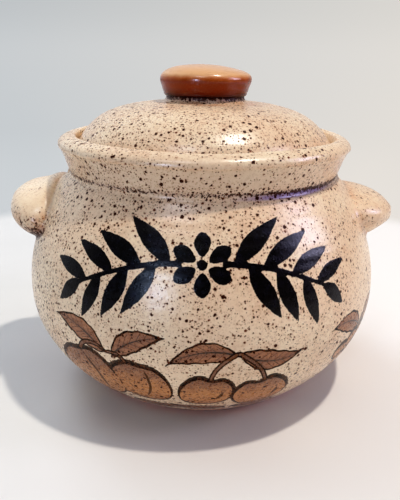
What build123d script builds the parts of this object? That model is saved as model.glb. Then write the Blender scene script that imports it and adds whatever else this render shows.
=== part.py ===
from build123d import *
import os

# Stoneware preserving crock with a domed lid, a clay knob and two ear lugs.
# Millimetres. +Z up, the origin is on the table at the centre of the foot.
# The lugs stand out along -X and +X, and the front faces -Y.

# ---- driving dimensions -------------------------------------------------
BELLY_R = 115.0          # widest outer radius, at mid height
WALL = 6.6               # thrown wall
FOOT_R = 71.4            # outer radius of the flat foot ring
FOOT_INNER_R = 62.0      # inner radius of the foot ring
FOOT_RECESS = 2.6        # turned recess inside the foot ring
FLOOR_Z = 10.0           # top of the floor inside, at the centre

CREASE_R = 86.5          # outer radius where shoulder and collar meet
CREASE_Z = 139.2
RIM_R = 93.3             # outer edge of the flared collar
RIM_Z = 157.2
BRIM_R = 83.7            # inner top edge of the rounded rim
BRIM_Z = 162.9           # highest point of the rim
GALLERY_R = 82.6         # wall of the recess that takes the lid
SEAT_Z = 155.0           # ledge that the lid sits on
SEAT_R = 76.0            # inner edge of that ledge, the clear mouth

LID_GAP = 0.3            # between the ledge and the lid's seat face
LID_R = 80.4             # lid's outer edge
LID_RING_R = 74.0        # locating ring under the lid
LID_RING_IN_R = 69.8
LID_RING_Z = 148.0       # lower edge of the locating ring
BOSS_R = 24.9            # short boss under the knob
BOSS_Z = 186.3

KNOB_R = 29.05           # widest radius of the knob
KNOB_WIDE_Z = 196.0
KNOB_TOP_Z = 204.8
KNOB_BASE_R = 26.4

# ear lugs: half axes radial, along the wall, vertical; centre; nose lift.
# Each has clay pressed on at its root, over the left one and under the right one, and smoothed out to the nose.
LUG_LEFT = dict(cx=-102.0, cz=111.5, radial=25.5, along=44.0, high=16.4, lift=22.0)
LUG_RIGHT = dict(cx=92.0, cz=115.6, radial=34.4, along=36.0, high=15.0, lift=-3.0)
ROOT_LEFT = dict(cx=-97.0, cz=118.0, radial=19.5, along=42.0, high=15.2, lift=0.0)
ROOT_RIGHT = dict(cx=101.0, cz=110.0, radial=17.0, along=32.5, high=11.3, lift=0.0)
SMOOTHED = ((0.25, 0.5), (0.5, 0.9), (0.75, 0.5))   # between nose and root: share of the root, extra size

os.makedirs("parts", exist_ok=True)

# ---- profiles, as (radius, height) --------------------------------------
# outside of the belly, from above the foot to just below the crease
belly_out = [
    (73.4, 1.3), (78.8, 5.2), (85.2, 10.2), (95.4, 20.0), (103.3, 30.0),
    (108.9, 40.0), (112.6, 50.0), (114.5, 60.0), (BELLY_R, 70.0),
    (114.3, 80.0), (112.3, 90.0), (109.2, 100.0), (105.1, 110.0),
    (99.9, 120.0), (93.6, 130.0), (88.4, 137.0),
]
# inside of the belly, from under the neck down to the floor
belly_in = [
    (80.2, 136.6), (85.6, 130.6), (92.6, 121.0), (98.2, 110.6),
    (102.4, 100.4), (105.5, 90.2), (107.6, 80.0), (BELLY_R - WALL, 70.0),
    (107.8, 60.0), (105.9, 50.0), (102.2, 40.0), (96.4, 30.4),
    (88.6, 21.6), (79.0, 14.8), (66.0, 11.2), (48.0, 10.2),
]


def revolved(*curves):
    """Solid of revolution of a closed outline drawn in the XZ plane."""
    with BuildSketch(Plane.XZ) as sk:
        with BuildLine():
            for c in curves:
                add(c)
        make_face()
    return revolve(sk.sketch, Axis.Z, 360)


def line(*pts):
    return Polyline(*pts, mode=Mode.PRIVATE)


def curve(pts, **kw):
    return Spline(*pts, mode=Mode.PRIVATE, **kw)


def arc(a, b, c):
    return ThreePointArc(a, b, c, mode=Mode.PRIVATE)


# ---- vessel -------------------------------------------------------------
collar_foot = (87.0, 141.2)
collar_top = (RIM_R - 0.9, RIM_Z - 1.7)
rim_over = [
    (RIM_R, RIM_Z), (RIM_R - 0.4, 158.9), (91.4, 160.7), (89.0, 162.1),
    (86.6, 162.8), (BRIM_R + 1.3, BRIM_Z),
]
vessel = revolved(
    # underside: recess, foot ring and its small chamfer
    line((0, FOOT_RECESS), (FOOT_INNER_R - 2.2, FOOT_RECESS), (FOOT_INNER_R, 0),
         (FOOT_R, 0), (FOOT_R + 0.9, 0.5)),
    arc((FOOT_R + 0.9, 0.5), (FOOT_R + 1.35, 0.85), belly_out[0]),
    curve(belly_out),
    # hollow crease between shoulder and collar
    arc(belly_out[-1], (86.75, 139.3), collar_foot),
    curve([collar_foot, (88.8, 147.0), (90.8, 152.4), collar_top]),
    # rim: crisp outer edge, rounded over, and a small rounded inner edge
    arc(collar_top, (RIM_R - 0.25, RIM_Z - 1.05), rim_over[0]),
    curve(rim_over),
    arc(rim_over[-1], (BRIM_R + 0.1, BRIM_Z - 0.45), (GALLERY_R + 0.55, BRIM_Z - 1.9)),
    # gallery: wall and ledge for the lid
    line((GALLERY_R + 0.55, BRIM_Z - 1.9), (GALLERY_R, SEAT_Z), (SEAT_R + 1.0, SEAT_Z)),
    arc((SEAT_R + 1.0, SEAT_Z), (SEAT_R + 0.25, SEAT_Z - 0.3), (SEAT_R, SEAT_Z - 1.0)),
    line((SEAT_R, SEAT_Z - 1.0), (SEAT_R, 146.0)),
    curve([(SEAT_R, 146.0), (76.9, 141.0), belly_in[0]], tangents=[(0, -1), (0.66, -0.75)]),
    curve(belly_in + [(0, FLOOR_Z)], tangents=[(0.66, -0.75), (-1, 0)]),
    line((0, FLOOR_Z), (0, FOOT_RECESS)),
)

# ---- ear lugs -----------------------------------------------------------
# the outside of the vessel filled solid, so that each lug ends on its skin
belly_full = revolved(
    line((0, 0.4), (FOOT_R + 0.9, 0.5)),
    arc((FOOT_R + 0.9, 0.5), (FOOT_R + 1.35, 0.85), belly_out[0]),
    curve(belly_out),
    arc(belly_out[-1], (86.75, 139.3), collar_foot),
    line(collar_foot, (0, 141.2), (0, 0.4)),
)


def lump(cx, cz, radial, along, high, lift):
    # the nose is the end away from the axis; lift raises it
    turn = lift if cx < 0 else -lift
    return Pos(cx, 0, cz) * Rot(0, turn, 0) * scale(Sphere(1.0), by=(radial, along, high))


def ear(nose, root):
    clay = lump(**nose) + lump(**root)
    for share, extra in SMOOTHED:
        between = {k: nose[k] + share * (root[k] - nose[k]) for k in nose}
        for k in ("radial", "along", "high"):
            between[k] += extra
        clay += lump(**between)
    cut = clay - belly_full
    return max(cut.solids(), key=lambda s: s.volume)


lug_left = ear(LUG_LEFT, ROOT_LEFT)
lug_right = ear(LUG_RIGHT, ROOT_RIGHT)

# ---- lid ----------------------------------------------------------------
seat = SEAT_Z + LID_GAP
dome_out = [
    (29.6, 182.2), (35.0, 181.65), (42.0, 180.8), (50.0, 179.3), (60.0, 176.3),
    (68.0, 172.2), (74.0, 167.1), (77.6, 163.0), (79.6, 159.6),
]
dome_in = [
    (68.9, 159.6), (66.0, 164.3), (62.0, 167.9), (55.0, 171.5),
    (45.0, 174.2), (30.0, 176.0),
]
lid = revolved(
    line((0, BOSS_Z), (BOSS_R - 0.6, BOSS_Z)),
    arc((BOSS_R - 0.6, BOSS_Z), (BOSS_R - 0.17, BOSS_Z - 0.17), (BOSS_R, BOSS_Z - 0.6)),
    line((BOSS_R, BOSS_Z - 0.6), (BOSS_R + 0.1, 184.7)),
    curve([(BOSS_R + 0.1, 184.7), (26.2, 183.1), dome_out[0]]),
    curve(dome_out),
    # rounded edge of the flange, then the flat face that sits on the ledge
    arc(dome_out[-1], (LID_R, 157.6), (79.7, 155.9)),
    line((79.7, 155.9), (79.0, seat), (LID_RING_R + 0.3, seat), (LID_RING_R, seat - 0.4),
         (LID_RING_R - 0.7, LID_RING_Z + 1.2)),
    arc((LID_RING_R - 0.7, LID_RING_Z + 1.2), (72.0, LID_RING_Z), (LID_RING_IN_R + 0.6, LID_RING_Z + 1.2)),
    line((LID_RING_IN_R + 0.6, LID_RING_Z + 1.2), (LID_RING_IN_R, 155.0)),
    curve([(LID_RING_IN_R, 155.0)] + dome_in + [(0, 176.8)], tangents=[(-0.05, 1), (-1, 0)]),
    line((0, 176.8), (0, BOSS_Z)),
)

# ---- knob ---------------------------------------------------------------
knob = revolved(
    line((0, BOSS_Z), (KNOB_BASE_R - 1.0, BOSS_Z)),
    arc((KNOB_BASE_R - 1.0, BOSS_Z), (KNOB_BASE_R - 0.2, BOSS_Z + 0.35), (KNOB_BASE_R + 0.2, BOSS_Z + 1.2)),
    # fuller towards the top, a thick rounded lip, and a low crown
    curve([(KNOB_BASE_R + 0.2, BOSS_Z + 1.2), (27.8, 189.5), (28.6, 191.9), (29.0, 194.0), (KNOB_R, KNOB_WIDE_Z)],
          tangents=[(0.45, 0.9), (0, 1)]),
    curve([(KNOB_R, KNOB_WIDE_Z), (28.75, 197.5), (27.8, 199.0), (26.1, 200.3), (23.6, 201.5),
           (20.0, 202.6), (15.0, 203.6), (7.5, 204.5), (0, KNOB_TOP_Z)],
          tangents=[(0, 1), (-1, 0)]),
    line((0, KNOB_TOP_Z), (0, BOSS_Z)),
)

for name, shape in [
    ("vessel", vessel),
    ("lug_left", lug_left),
    ("lug_right", lug_right),
    ("lid", lid),
    ("knob", knob),
]:
    export_step(shape, f"parts/{name}.step")
    b = shape.bounding_box()
    print(name, "volume %.0f mm3" % shape.volume,
          "x %.1f..%.1f y %.1f..%.1f z %.1f..%.1f" % (b.min.X, b.max.X, b.min.Y, b.max.Y, b.min.Z, b.max.Z))
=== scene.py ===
import math

import bpy
import numpy as np
from mathutils import Matrix


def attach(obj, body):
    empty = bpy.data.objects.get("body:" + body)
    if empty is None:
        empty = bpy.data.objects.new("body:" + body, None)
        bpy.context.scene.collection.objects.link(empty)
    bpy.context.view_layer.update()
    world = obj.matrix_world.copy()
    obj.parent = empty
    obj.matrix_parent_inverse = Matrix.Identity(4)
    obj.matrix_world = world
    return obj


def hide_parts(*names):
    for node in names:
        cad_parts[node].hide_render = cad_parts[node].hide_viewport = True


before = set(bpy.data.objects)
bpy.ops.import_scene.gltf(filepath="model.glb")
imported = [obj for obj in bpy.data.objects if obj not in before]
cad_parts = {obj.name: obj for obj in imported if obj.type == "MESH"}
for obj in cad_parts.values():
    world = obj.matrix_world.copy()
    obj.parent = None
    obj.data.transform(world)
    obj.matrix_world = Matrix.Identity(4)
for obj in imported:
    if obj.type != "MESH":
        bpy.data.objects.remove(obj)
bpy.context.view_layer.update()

MM = 0.001
rng = np.random.default_rng(7)

# ------------------------------------------------------------------ camera
# A phone held close to the pot, a little above it, looking slightly down.
F_PX = 560.0
CAM_POS = (-1.31 * MM, -370.6 * MM, 208.9 * MM)
PITCH, ROLL = math.radians(19.0), math.radians(0.9)
cam = bpy.data.cameras.new("camera")
cam.sensor_width = 36.0
cam.lens = F_PX * 36.0 / 500.0
cam.clip_start, cam.clip_end = 0.01, 50.0
cam_ob = bpy.data.objects.new("camera", cam)
bpy.context.scene.collection.objects.link(cam_ob)
cam_ob.matrix_world = (
    Matrix.Translation(CAM_POS)
    @ Matrix.Rotation(math.pi / 2 - PITCH, 4, "X")
    @ Matrix.Rotation(ROLL, 4, "Z")
)
bpy.context.scene.camera = cam_ob


# ----------------------------------------------------------------- outlines
def cubic(pts, n):
    """n points evenly along a natural cubic spline through (radius, height) points."""
    p = np.asarray(pts, float)
    t = np.concatenate([[0], np.cumsum(np.hypot(*np.diff(p, axis=0).T))])
    m, h = len(p), np.diff(t)
    a = np.zeros((m, m))
    b = np.zeros((m, 2))
    a[0, 0] = a[-1, -1] = 1
    for i in range(1, m - 1):
        a[i, i - 1], a[i, i], a[i, i + 1] = h[i - 1], 2 * (h[i - 1] + h[i]), h[i]
        b[i] = 6 * ((p[i + 1] - p[i]) / h[i] - (p[i] - p[i - 1]) / h[i - 1])
    k = np.linalg.solve(a, b)
    u = np.linspace(0, t[-1], 40 * m)
    i = np.clip(np.searchsorted(t, u, side="right") - 1, 0, m - 2)
    x0, x1, hh = u - t[i], t[i + 1] - u, h[i]
    q = (
        (k[i] * (x1**3)[:, None] + k[i + 1] * (x0**3)[:, None]) / (6 * hh)[:, None]
        + (p[i] / hh[:, None] - k[i] * hh[:, None] / 6) * x1[:, None]
        + (p[i + 1] / hh[:, None] - k[i + 1] * hh[:, None] / 6) * x0[:, None]
    )
    return even(q, n)


def even(q, n):
    """n points evenly along a polyline."""
    q = np.asarray(q, float)
    s = np.concatenate([[0], np.cumsum(np.hypot(*np.diff(q, axis=0).T))])
    u = np.linspace(0, s[-1], n)
    return np.stack([np.interp(u, s, q[:, 0]), np.interp(u, s, q[:, 1])], 1)


def arc3(a, b, c, n):
    """n points along the circle arc through three points."""
    (ax, ay), (bx, by), (cx, cy) = a, b, c
    d = 2 * (ax * (by - cy) + bx * (cy - ay) + cx * (ay - by))
    ux = ((ax**2 + ay**2) * (by - cy) + (bx**2 + by**2) * (cy - ay) + (cx**2 + cy**2) * (ay - by)) / d
    uy = ((ax**2 + ay**2) * (cx - bx) + (bx**2 + by**2) * (ax - cx) + (cx**2 + cy**2) * (bx - ax)) / d
    r = math.hypot(ax - ux, ay - uy)
    t0, t1, t2 = (math.atan2(y - uy, x - ux) for x, y in (a, b, c))
    while t1 - t0 > math.pi: t1 -= 2 * math.pi
    while t1 - t0 < -math.pi: t1 += 2 * math.pi
    while t2 - t1 > math.pi: t2 -= 2 * math.pi
    while t2 - t1 < -math.pi: t2 += 2 * math.pi
    t = np.linspace(t0, t2, n)
    return np.stack([ux + r * np.cos(t), uy + r * np.sin(t)], 1)


def outline(*runs):
    """Joins runs of points end to end and drops doubled points. Returns points and the run number of each."""
    pts, tag = [], []
    for k, r in enumerate(runs):
        for p in np.asarray(r, float):
            if pts and math.hypot(pts[-1][0] - p[0], pts[-1][1] - p[1]) < 0.02:
                continue
            pts.append((p[0], p[1]))
            tag.append(k)
    return np.array(pts), np.array(tag)


# the same numbers as the CAD model, in millimetres
BELLY_R, WALL = 115.0, 6.6
FOOT_R, FOOT_INNER_R, FOOT_RECESS, FLOOR_Z = 71.4, 62.0, 2.6, 10.0
RIM_R, RIM_Z, BRIM_R, BRIM_Z = 93.3, 157.2, 83.7, 162.9
GALLERY_R, SEAT_Z, SEAT_R = 82.6, 155.0, 76.0
BOSS_R, BOSS_Z = 24.9, 186.3
KNOB_R, KNOB_WIDE_Z, KNOB_TOP_Z, KNOB_BASE_R = 29.05, 196.0, 204.8, 26.4

belly_out = [
    (73.4, 1.3), (78.8, 5.2), (85.2, 10.2), (95.4, 20.0), (103.3, 30.0),
    (108.9, 40.0), (112.6, 50.0), (114.5, 60.0), (BELLY_R, 70.0),
    (114.3, 80.0), (112.3, 90.0), (109.2, 100.0), (105.1, 110.0),
    (99.9, 120.0), (93.6, 130.0), (88.4, 137.0),
]
belly_in = [
    (80.2, 136.6), (85.6, 130.6), (92.6, 121.0), (98.2, 110.6),
    (102.4, 100.4), (105.5, 90.2), (107.6, 80.0), (BELLY_R - WALL, 70.0),
    (107.8, 60.0), (105.9, 50.0), (102.2, 40.0), (96.4, 30.4),
    (88.6, 21.6), (79.0, 14.8), (66.0, 11.2), (48.0, 10.2), (24.0, 10.0),
]
collar_foot = (87.0, 141.2)
collar_top = (RIM_R - 0.9, RIM_Z - 1.7)
rim_over = [
    (RIM_R, RIM_Z), (RIM_R - 0.4, 158.9), (91.4, 160.7), (89.0, 162.1),
    (86.6, 162.8), (BRIM_R + 1.3, BRIM_Z),
]
gallery_top = (GALLERY_R + 0.55, BRIM_Z - 1.9)
N_BELLY = 124
vessel_pts, vessel_tag = outline(
    [(0, FOOT_RECESS), (14, FOOT_RECESS), (28, FOOT_RECESS), (42, FOOT_RECESS), (53, FOOT_RECESS), (58.6, FOOT_RECESS)],   # 0 underside
    cubic([(59.3, FOOT_RECESS - 0.1), (60.6, 1.6), (61.6, 0.5), (62.4, 0.0)], 6),                                        # 1 recess wall
    even([(62.9, 0.0), (70.7, 0.0)], 5),                                                                                 # 2 foot ring
    arc3((71.2, 0.02), (72.3, 0.5), (73.3, 1.22), 5),                                                                    # 3 foot edge
    cubic(belly_out, N_BELLY),                                                                                           # 4 belly
    arc3(belly_out[-1], (86.75, 139.3), collar_foot, 7),                                                                 # 5 crease
    cubic([collar_foot, (88.8, 147.0), (90.8, 152.4), collar_top], 13),                                                  # 6 collar
    arc3(collar_top, (RIM_R - 0.25, RIM_Z - 1.05), rim_over[0], 6),                                                      # 7 rim edge
    cubic(rim_over, 13),                                                                                                 # 8 over the rim
    arc3(rim_over[-1], (BRIM_R + 0.1, BRIM_Z - 0.45), gallery_top, 6),                                                   # 9 brim
    even([gallery_top, (GALLERY_R + 0.1, SEAT_Z + 1.4)], 5),                                                             # 10 gallery wall
    arc3((GALLERY_R + 0.05, SEAT_Z + 1.0), (GALLERY_R - 0.3, SEAT_Z + 0.25), (GALLERY_R - 1.1, SEAT_Z), 3),              # 11 corner
    even([(GALLERY_R - 2.0, SEAT_Z), (SEAT_R + 1.0, SEAT_Z)], 4),                                                        # 12 ledge
    arc3((SEAT_R + 0.9, SEAT_Z), (SEAT_R + 0.25, SEAT_Z - 0.3), (SEAT_R, SEAT_Z - 1.0), 4),                              # 13 ledge edge
    cubic([(SEAT_R, SEAT_Z - 1.4), (SEAT_R, 146.0), (76.9, 141.0), belly_in[0]], 9),                                     # 14 neck
    cubic(belly_in, 44),                                                                                                 # 15 inside
    [(12, FLOOR_Z), (0, FLOOR_Z)],                                                                                       # 16 floor
)

seat = SEAT_Z + 0.3
dome_out = [
    (29.6, 182.2), (35.0, 181.65), (42.0, 180.8), (50.0, 179.3), (60.0, 176.3),
    (68.0, 172.2), (74.0, 167.1), (77.6, 163.0), (79.6, 159.6),
]
dome_in = [
    (69.8, 155.0), (68.9, 159.6), (66.0, 164.3), (62.0, 167.9), (55.0, 171.5),
    (45.0, 174.2), (30.0, 176.0), (14.0, 176.7),
]
lid_pts, lid_tag = outline(
    [(0, BOSS_Z - 0.5), (9, BOSS_Z - 0.5), (17, BOSS_Z - 0.5), (22.5, BOSS_Z - 0.3)],             # 0 top of the boss
    arc3((BOSS_R - 1.0, BOSS_Z - 0.1), (BOSS_R - 0.25, BOSS_Z - 0.3), (BOSS_R, BOSS_Z - 1.0), 4),  # 1 its edge
    cubic([(BOSS_R, BOSS_Z - 1.1), (BOSS_R + 0.1, 184.6), (26.2, 183.1), (28.9, 182.3)], 12),      # 2 boss to dome
    cubic(dome_out, 52),                                                                           # 3 dome
    arc3(dome_out[-1], (80.4, 157.6), (79.7, 155.9), 8),                                           # 4 flange edge
    arc3((79.6, 155.8), (79.3, seat + 0.1), (78.6, seat), 3),                                      # 5
    even([(78.2, seat), (74.8, seat)], 4),                                                         # 6 seat face
    even([(74.3, seat - 0.1), (74.0, seat - 0.6), (73.3, 149.4)], 6),                              # 7 locating ring
    arc3((73.3, 149.2), (72.0, 148.0), (70.4, 149.2), 9),                                          # 8 its edge
    cubic([(70.4, 149.4), (70.0, 152.5)] + dome_in, 34),                                           # 9 underside
    [(0, 176.8)],                                                                                  # 10
)
knob_pts, knob_tag = outline(
    [(0, BOSS_Z - 0.4), (9, BOSS_Z - 0.4), (17, BOSS_Z - 0.4)],                                    # 0
    arc3((23.7, BOSS_Z - 0.2), (KNOB_BASE_R - 0.2, BOSS_Z + 0.2), (KNOB_BASE_R + 0.25, BOSS_Z + 1.3), 6),
    cubic([(KNOB_BASE_R + 0.25, BOSS_Z + 1.4), (27.8, 189.5), (28.6, 191.9), (29.0, 194.0), (KNOB_R, KNOB_WIDE_Z),
           (28.75, 197.5), (27.8, 199.0), (26.1, 200.3), (23.6, 201.5), (20.0, 202.6), (15.0, 203.6), (7.5, 204.5),
           (2.0, KNOB_TOP_Z - 0.02)], 62),
    [(0, KNOB_TOP_Z)],
)


# ---------------------------------------------------- handmade unevenness
def waves(seed, n, f_lo, f_hi, z_scale):
    """A smooth pseudo-random field of (azimuth, run length), a sum of n seeded waves, about -1 to 1."""
    r = np.random.default_rng(seed)
    ks = r.integers(f_lo, f_hi + 1, n)
    ms = r.normal(0, 1 / z_scale, n)
    ph = r.uniform(0, 2 * math.pi, n)
    am = r.uniform(0.5, 1.0, n)
    am /= np.sqrt((am**2).sum() / 2) * 1.6

    def field(az, s):
        out = np.zeros(np.broadcast(az, s).shape)
        for k, m, p, a in zip(ks, ms, ph, am):
            out = out + a * np.sin(k * az + m * s + p)
        return out

    return field


w_big, w_mid, w_small = waves(11, 5, 1, 3, 60), waves(12, 9, 3, 9, 16), waves(13, 14, 9, 26, 6)
w_rim, w_edge = waves(14, 5, 2, 5, 1e6), waves(15, 8, 6, 18, 1e6)
w_ring = waves(16, 4, 1, 2, 1e6)


def belly_push(az, z):
    """How far the thrown wall stands out of true at an azimuth and height, in mm."""
    fade = np.clip((z - 1.0) / 14.0, 0, 1) * np.clip((139.0 - z) / 8.0, 0, 1)
    rings = np.sin(2 * math.pi * (z + 1.2 * az / (2 * math.pi) * 6.0) / 6.0 + 0.6 * w_ring(az, z)) * (0.5 + 0.5 * np.sin(z / 17.0 + 1.0))
    return fade * (0.30 * w_big(az, z) + 0.16 * w_mid(az, z) + 0.035 * w_small(az, z) + 0.07 * rings)


_prof = cubic(belly_out, 600)


def belly_radius(az, z):
    return np.interp(z, _prof[:, 1], _prof[:, 0]) + belly_push(az, z)


def azimuths(n, front=0.0):
    """n azimuths from the front (-Y) turning towards +X; front packs them closer there."""
    u = np.linspace(-math.pi, math.pi, n + 1)[:-1]
    t = u.copy()
    for _ in range(40):
        t = t - (t + front * np.sin(t) - u) / (1 + front * np.cos(t))
    return t


def mesh_object(name, verts, faces, attrs=None, uvs=None):
    me = bpy.data.meshes.new(name)
    me.from_pydata((np.asarray(verts) * MM).tolist(), [], faces)
    me.update()
    me.polygons.foreach_set("use_smooth", [True] * len(me.polygons))
    for key, value in (attrs or {}).items():
        at = me.attributes.new(key, "FLOAT", "POINT")
        at.data.foreach_set("value", np.asarray(value, np.float32))
    if uvs is not None:
        layer = me.uv_layers.new(name="OFBake")
        layer.data.foreach_set("uv", np.asarray(uvs, np.float32).ravel())
    ob = bpy.data.objects.new(name, me)
    bpy.context.scene.collection.objects.link(ob)
    return ob


def lathe(name, pts, cols, push, front=0.0, coarse=None, attrs=None, uv=None):
    """A turned solid from its outline. cols columns, or half as many on the rows where coarse is true.
    push(az, r, z, row) gives the true radius and height; an outline end on the axis becomes one vertex.
    attrs(az, run, row, r, z) gives the vertex attributes, and uv(az, run, row, face azimuth, face row) the map."""
    n = len(pts)
    coarse = np.zeros(n, bool) if coarse is None else coarse
    s = np.concatenate([[0], np.cumsum(np.hypot(*np.diff(pts, axis=0).T))])
    az_f = azimuths(cols, front)
    verts, az_all, s_all, row_all, rows, r_all = [], [], [], [], [], []
    for i, (r, z) in enumerate(pts):
        az = az_f[::2] if coarse[i] else az_f
        if r < 1e-6:
            az = az[:1]
        rr, zz = push(az, np.full(len(az), r), np.full(len(az), z), i)
        if r < 1e-6:
            rr = rr * 0
        rows.append(np.arange(len(az)) + len(az_all))
        verts.extend(np.stack([rr * np.sin(az), -rr * np.cos(az), zz], 1).tolist())
        az_all.extend(az.tolist())
        r_all.extend(rr.tolist())
        s_all.extend([s[i]] * len(az))
        row_all.extend([i] * len(az))
    faces, c_az, c_s, c_row, f_az, f_row = [], [], [], [], [], []

    def face(ids, azs):
        faces.append([int(k) for k in ids])
        mid, low = (min(azs) + max(azs)) / 2, min(row_all[k] for k in ids)
        for k, a in zip(ids, azs):
            c_az.append(a)
            c_s.append(s_all[k])
            c_row.append(row_all[k])
            f_az.append(mid)
            f_row.append(low)

    step = np.append(az_f, az_f[0] + 2 * math.pi)
    half = np.append(az_f[::2], az_f[0] + 2 * math.pi)
    for i in range(n - 1):
        a, b = rows[i], rows[i + 1]
        if len(a) == 1 or len(b) == 1:
            ring = b if len(a) == 1 else a
            e = half if len(ring) < cols else step
            for j in range(len(ring)):
                k, mid = (j + 1) % len(ring), (e[j] + e[j + 1]) / 2
                if len(a) == 1:
                    face((a[0], ring[k], ring[j]), (mid, e[j + 1], e[j]))
                else:
                    face((ring[j], ring[k], b[0]), (e[j], e[j + 1], mid))
        elif len(a) == len(b):
            e = half if len(a) < cols else step
            for j in range(len(a)):
                k = (j + 1) % len(a)
                face((a[j], a[k], b[k], b[j]), (e[j], e[j + 1], e[j + 1], e[j]))
        else:
            few = min(len(a), len(b))
            for j in range(few):
                k = (j + 1) % few
                e0, e1, e2 = step[2 * j], step[2 * j + 1], step[2 * j + 2]
                if len(a) < len(b):
                    f0, f1, f2 = b[2 * j], b[2 * j + 1], b[(2 * j + 2) % len(b)]
                    face((a[j], a[k], f1), (e0, e2, e1))
                    face((a[j], f1, f0), (e0, e1, e0))
                    face((a[k], f2, f1), (e2, e2, e1))
                else:
                    f0, f1, f2 = a[2 * j], a[2 * j + 1], a[(2 * j + 2) % len(a)]
                    face((f1, b[k], b[j]), (e1, e2, e0))
                    face((f0, f1, b[j]), (e0, e1, e0))
                    face((f1, f2, b[k]), (e1, e2, e2))
    verts = np.array(verts)
    made = attrs(np.array(az_all), np.array(s_all), np.array(row_all), np.array(r_all), verts[:, 2]) if attrs else {}
    uvs = uv(*(np.array(q) for q in (c_az, c_s, c_row, f_az, f_row))) if uv else None
    return mesh_object(name, verts, faces, made, uvs)


# ------------------------------------------------- painted shapes, as distances
def closed(pts, n=90, sharp=()):
    """A smooth closed polygon through points; those numbered in sharp stay corners."""
    p = np.asarray(pts, float)
    m, out = len(p), []
    per = max(3, n // m)
    for i in range(m):
        p0, p1, p2, p3 = p[i - 1], p[i], p[(i + 1) % m], p[(i + 2) % m]
        if i in sharp:
            p0 = p1
        if (i + 1) % m in sharp:
            p3 = p2
        for t in np.linspace(0, 1, per, endpoint=False):
            out.append(0.5 * (2 * p1 + (p2 - p0) * t + (2 * p0 - 5 * p1 + 4 * p2 - p3) * t * t + (3 * p1 - p0 - 3 * p2 + p3) * t**3))
    return np.array(out)


def distance(poly, x, y):
    """Signed distance to a polygon, negative inside."""
    a, b = poly, np.roll(poly, -1, axis=0)
    d = b - a
    best = np.full(len(x), 1e9)
    inside = np.zeros(len(x), bool)
    for (ax, ay), (bx, by), (dx, dy) in zip(a, b, d):
        t = np.clip(((x - ax) * dx + (y - ay) * dy) / max(dx * dx + dy * dy, 1e-9), 0, 1)
        best = np.minimum(best, (x - ax - t * dx) ** 2 + (y - ay - t * dy) ** 2)
        if ay != by:
            inside ^= ((ay > y) != (by > y)) & (x < (bx - ax) * (y - ay) / (by - ay) + ax)
    best = np.sqrt(best)
    return np.where(inside, -best, best)


def turned(pts, deg, dx=0.0, dy=0.0):
    c, s = math.cos(math.radians(deg)), math.sin(math.radians(deg))
    p = np.asarray(pts, float)
    return np.stack([p[:, 0] * c - p[:, 1] * s + dx, p[:, 0] * s + p[:, 1] * c + dy], 1)


def ribbon(pts, w0, w1, n=26):
    """A stroke along a curve through points, half widths w0 at its start and w1 at its end."""
    p = np.asarray(pts, float)
    q = cubic(p, n) if len(p) > 2 else even(p, n)
    t = np.gradient(q, axis=0)
    t /= np.hypot(*t.T)[:, None]
    nrm = np.stack([-t[:, 1], t[:, 0]], 1)
    w = np.linspace(w0, w1, n)[:, None]
    return np.concatenate([q + nrm * w, (q - nrm * w)[::-1]])


class Painted:
    """Distances in mm from every vertex of the belly to the painted shapes."""

    def __init__(self, az, run, radius):
        self.az, self.run, self.radius = az, run, radius
        n = len(az)
        self.ink = np.full(n, 9.0)    # black brush drawing
        self.fruit = np.full(n, 9.0)  # fruit shapes, the nearer ones over the others
        self.leaf = np.full(n, 9.0)   # leaves, behind the fruit
        self.stalk = np.full(n, 9.0)  # stalks, over the leaves
        self.mark = np.full(n, 9.0)   # short dark strokes inside the fruit
        self.lu, self.lv = np.zeros(n), np.zeros(n)  # along and across a leaf, in mm
        self.fx, self.fy = np.zeros(n), np.zeros(n)  # across and up a fruit, -1 to 1

    def near(self, a0, run0, reach):
        """Vertices within reach mm of a place, and their flat coordinates there."""
        da = (self.az - a0 + math.pi) % (2 * math.pi) - math.pi
        x, y = da * self.radius, self.run - run0
        k = np.nonzero((np.abs(x) < reach) & (np.abs(y) < reach))[0]
        return k, x[k], y[k]

    def stroke(self, place, poly, layer="ink"):
        c = poly.mean(axis=0)
        reach = np.abs(poly).max() + 8
        k, x, y = self.near(*place, reach)
        field = getattr(self, layer)
        field[k] = np.minimum(field[k], distance(poly, x, y))

    def add_fruit(self, place, poly):
        lo, hi = poly.min(axis=0), poly.max(axis=0)
        k, x, y = self.near(*place, np.abs(poly).max() + 8)
        d = distance(poly, x, y)
        self.fruit[k] = np.where(d < 0, d, np.minimum(self.fruit[k], d))
        m = d < 1.6
        self.fx[k[m]] = (2 * x[m] - lo[0] - hi[0]) / (hi[0] - lo[0])
        self.fy[k[m]] = (2 * y[m] - lo[1] - hi[1]) / (hi[1] - lo[1])

    def add_leaf(self, place, base, deg, length, width, bend):
        """A pointed leaf from base, turned by deg, its midrib arched by bend mm."""
        u = np.linspace(0, 1, 34)
        w = width / 2 * np.sin(math.pi * u**0.82) ** 0.8 * (1 + 0.05 * np.sin(9 * math.pi * u))
        w[0] = w[-1] = 0.0
        arch = bend * 4 * u * (1 - u)
        up = np.stack([u * length, arch + w], 1)
        low = np.stack([u * length, arch - w * 0.86], 1)[::-1][1:-1]
        tip = np.array([[length + 3.0, -bend * 0.5]])
        poly = turned(np.concatenate([up[:-1], tip, low]), deg, *base)
        k, x, y = self.near(*place, np.abs(poly).max() + 8)
        d = distance(poly, x, y)
        c, s = math.cos(math.radians(deg)), math.sin(math.radians(deg))
        X = (x - base[0]) * c + (y - base[1]) * s
        Y = -(x - base[0]) * s + (y - base[1]) * c
        uu = np.clip(X / length, 0, 1)
        m = d < np.minimum(self.leaf[k], 9.0)
        self.leaf[k] = np.minimum(self.leaf[k], d)
        self.lu[k[m]] = X[m]
        self.lv[k[m]] = (Y - bend * 4 * uu * (1 - uu))[m]


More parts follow.
